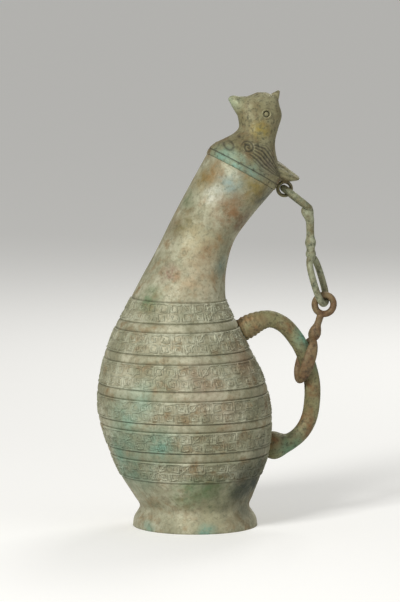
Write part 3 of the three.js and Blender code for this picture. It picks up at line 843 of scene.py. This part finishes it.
@dataclass(frozen=True)
class Studio:
    """The pale floor, the soft lamps and the camera."""

    azimuth: float = -11.0
    pitch: float = 6.24
    distance: float = 3334.0
    height: float = 558.9
    aside: float = 4.2
    focal_px: float = 3900.0
    floor_half: float = 30.0

    def camera(self) -> None:
        """Sets the camera at the photograph's angle and distance."""
        turn = math.radians(self.azimuth)
        right = np.array([math.cos(turn), math.sin(turn), 0])
        back = np.array([math.sin(turn), -math.cos(turn), 0])
        place = back * self.distance + right * self.aside + [FOOT_X, 0, self.height]
        look = -back * math.cos(math.radians(self.pitch)) - [0, 0, math.sin(math.radians(self.pitch))]
        data = bpy.data.cameras.new("camera")
        data.sensor_fit = "VERTICAL"
        data.sensor_height = 36.0
        data.lens = self.focal_px / HEIGHT_PX * data.sensor_height
        camera = bpy.data.objects.new("camera", data)
        camera.location = Vector(place * MM)
        camera.rotation_euler = Vector(look).to_track_quat("-Z", "Y").to_euler()
        bpy.context.scene.collection.objects.link(camera)
        bpy.context.scene.camera = camera

    def lamp(self, name: str, place: tuple[float, float, float], size: float, power: float) -> None:
        """Adds a soft square lamp aimed at the vessel's middle.

        Args:
            name: the lamp's name.
            place: where it hangs, in metres.
            size: its side in metres.
            power: its power in watts.
        """
        data = bpy.data.lights.new(name, "AREA")
        data.size = size
        data.energy = power
        lamp = bpy.data.objects.new(name, data)
        lamp.location = place
        aim = Vector((0, 0, TOP_Z * MM / 2)) - lamp.location
        lamp.rotation_euler = aim.to_track_quat("-Z", "Y").to_euler()
        bpy.context.scene.collection.objects.link(lamp)

    def build(self) -> None:
        """Builds the floor, world, lamps and camera."""
        paper = bpy.data.materials.new("matt_floor_paper")
        paper.use_nodes = True
        shader = paper.node_tree.nodes["Principled BSDF"]
        place = node(paper.node_tree, "ShaderNodeTexCoord").outputs["Object"]
        fibre = node(paper.node_tree, "ShaderNodeTexNoise", {"Vector": place, "Scale": 900.0}).outputs["Fac"]
        tone = blend(paper.node_tree, fibre, linear("#E4E3DF"), linear("#E9E8E5"))
        paper.node_tree.links.new(tone, shader.inputs["Base Color"])
        rays = node(paper.node_tree, "ShaderNodeLightPath").outputs["Is Camera Ray"]
        glow = node(paper.node_tree, "ShaderNodeMath", {0: rays, 1: 0.3}, operation="MULTIPLY")
        paper.node_tree.links.new(tone, shader.inputs["Emission Color"])
        paper.node_tree.links.new(glow.outputs[0], shader.inputs["Emission Strength"])
        shader.inputs["Roughness"].default_value = 0.95
        side = self.floor_half
        mesh = bpy.data.meshes.new("floor")
        mesh.from_pydata([(-side, -side, 0), (side, -side, 0), (side, side, 0), (-side, side, 0)], [],
                         [(0, 1, 2, 3)])
        mesh.materials.append(paper)
        floor = bpy.data.objects.new("floor", mesh)
        bpy.context.scene.collection.objects.link(floor)
        world = bpy.data.worlds.new("studio")
        world.use_nodes = True
        world.node_tree.nodes["Background"].inputs["Color"].default_value = linear("#F4F4F2")
        world.node_tree.nodes["Background"].inputs["Strength"].default_value = 0.28
        bpy.context.scene.world = world
        self.lamp("key", (-1.2, -1.3, 1.4), 0.6, 35.0)
        self.lamp("fill", (1.5, -1.2, 0.7), 1.2, 5.0)
        self.lamp("back", (0.8, 1.3, 1.3), 0.8, 12.0)
        self.camera()


# Patches on the body: mostly stains, with painted highlights on the neck
BODY_STAINS_AND_HIGHLIGHTS = (
    Patch((-75, -35, 55), 42, "#5E9480"), Patch((-66, -44, 100), 30, "#76A790", 0.6),
    Patch((-40, -62, 78), 22, "#79AC98", 0.7), Patch((-52, -52, 118), 20, "#7FB09C", 0.5),
    Patch((30, -46, 33), 40, "#39402F", 0.95), Patch((46, -36, 40), 34, "#2B3429", 0.95),
    Patch((54, -44, 64), 26, "#3C4636", 0.7), Patch((2, -56, 36), 26, "#4F6A40", 0.8),
    Patch((-16, -55, 34), 20, "#5F8A5A", 0.7), Patch((2, -14, 300), 15, "#7D6A2E", 0.85),
    Patch((-10, -12, 284), 15, "#4F6238", 0.75), Patch((-26, -12, 262), 15, "#6B4A22", 0.85),
    Patch((-10, -54, 24), 14, "#6E4A38", 0.6), Patch((5, -50, 10), 34, "#BDB896", 0.7),
    Patch((0, -54, 0), 12, "#5FA091", 0.8), Patch((-50, -28, 2), 12, "#5FA091", 0.6),
    Patch((58, -48, 120), 24, "#6A654A", 0.7), Patch((40, -50, 150), 26, "#8A6544", 0.75),
    Patch((46, -24, 296), 20, "#8C7A36", 0.9), Patch((58, -20, 284), 15, "#222F2C", 0.98),
    Patch((24, -30, 296), 17, "#8DA19A", 0.8), Patch((8, -22, 306), 15, "#8A6C3A", 0.85),
    # painted highlight: the pale #D3D3C4 patch on the front of the neck
    Patch((10, -30, 288), 13, "#D3D3C4", 0.85), Patch((26, -28, 272), 22, "#8E6A44", 0.85),
    Patch((40, -20, 262), 14, "#5A4034", 0.85), Patch((-14, -22, 262), 18, "#74683A", 0.85),
    # partly cream patina, partly painted highlight: the pale cream patches at heights 246 and 216 on the
    # lower neck
    Patch((0, -30, 246), 22, "#C2B893", 0.8), Patch((4, -30, 238), 16, "#8B6B45", 0.7),
    Patch((-6, -36, 216), 24, "#C6B594", 0.8), Patch((20, -22, 226), 12, "#7F9084", 0.8),
    Patch((-28, -28, 222), 12, "#7A4634", 0.6), Patch((-46, -26, 200), 16, "#5F7E56", 0.85),
    Patch((-10, -70, 130), 26, "#B09A86", 0.5), Patch((10, -62, 104), 26, "#A8957E", 0.5))
BODY_FINISH = BronzePatina(
    "cast_bronze_green_crust", ground="#98967A", pale="#BCB99E", stain="#8E7650", speck="#565A42",
    crust_share=0.4, speck_share=0.4, patches=BODY_STAINS_AND_HIGHLIGHTS)
RELIEF_FINISH = BronzePatina(
    "cast_bronze_relief_crust", ground="#9C9C80", pale="#C2C2A8", stain="#96825F", speck="#5A5C44",
    soil_and_painted_shade="#3E3B2C", crust_share=0.3, speck_share=0.35, patches=BODY_STAINS_AND_HIGHLIGHTS)
LID_FINISH = BronzePatina(
    "cast_bronze_olive_crust", ground="#827C58", pale="#9C9876", stain="#6F5634", speck="#3E4130",
    # painted highlight: the pale #A9B796 patch on the beak's tip
    patches=(Patch((31, 0, 366), 14, "#A9B796", 0.8), Patch((54, -16, 342), 11, "#9C8A3C", 0.8),
             Patch((16, -22, 321), 18, "#7C9E8A", 0.9), Patch((28, -31, 314), 15, "#7FA594", 0.9),
             Patch((44, -34, 305), 15, "#7C9888", 0.85), Patch((60, -30, 314), 15, "#7A7062", 0.7),
             Patch((74, -14, 350), 12, "#5E4A2C", 0.7), Patch((88, 0, 300), 12, "#B3AE98", 0.6)))
HANDLE_FINISH = BronzePatina(
    "cast_bronze_handle_crust", ground="#7D7750", pale="#93906A", stain="#7A5632", speck="#3F3D2C",
    patches=(Patch((46, -8, 172), 20, "#8E6C46", 0.85), Patch((98, -4, 162), 15, "#6DAE98", 0.9),
             Patch((112, -4, 140), 13, "#74A890", 0.8), Patch((84, -8, 62), 24, "#64886A", 0.85),
             Patch((94, 0, 92), 14, "#84562E", 0.8), Patch((66, -10, 74), 12, "#8A5C36", 0.8)))
UPPER_LINK_FINISH = BronzePatina(
    "cast_bronze_link_green", ground="#85876A", pale="#A3A68A", stain="#6E6440", speck="#3F4836")
LOWER_LINK_FINISH = BronzePatina(
    "cast_bronze_link_brown", ground="#775C3E", pale="#8F7A58", stain="#5C3C24", speck="#392E22")
CLAY_FINISH = BronzePatina(
    "fired_clay_core", ground="#8A6F56", pale="#9C826A", stain="#70563F", speck="#4A3A2C",
    roughness=0.78, metallic=0.0)


def dress_carried(finishes: dict[str, bpy.types.Material]) -> None:
    """Gives the solids that stay their finish.

    Args:
        finishes: node name to material.
    """
    for name, material in finishes.items():
        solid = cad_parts[name]
        if solid.material_slots:
            for entry in solid.material_slots:
                entry.material = material
        else:
            solid.data.materials.append(material)
        LOG.info("%s: solid kept, new finish %s", name, material.name)


def main() -> None:
    """Builds the vessel, handle, lid and chain, then the studio."""
    logging.basicConfig(level=logging.INFO, format="%(name)s: %(message)s")
    bpy.context.scene.view_settings.view_transform = "Standard"
    handle_finish = HANDLE_FINISH.build()
    lower_finish = LOWER_LINK_FINISH.build()
    clay = CLAY_FINISH.build()
    Vessel().build(BODY_FINISH.build(), RELIEF_FINISH.build())
    Handle().build(handle_finish)
    Bird().build(LID_FINISH.build())
    Chain().build(UPPER_LINK_FINISH.build(), lower_finish)
    kept = {"handle_core": clay, "head_core": clay, "handle_rivet_upper": handle_finish,
            "handle_rivet_lower": handle_finish}
    kept.update({f"chaplet_{k}": lower_finish for k in range(1, 5)})
    dress_carried(kept)
    Studio().build()


if __name__ == "__main__":
    main()
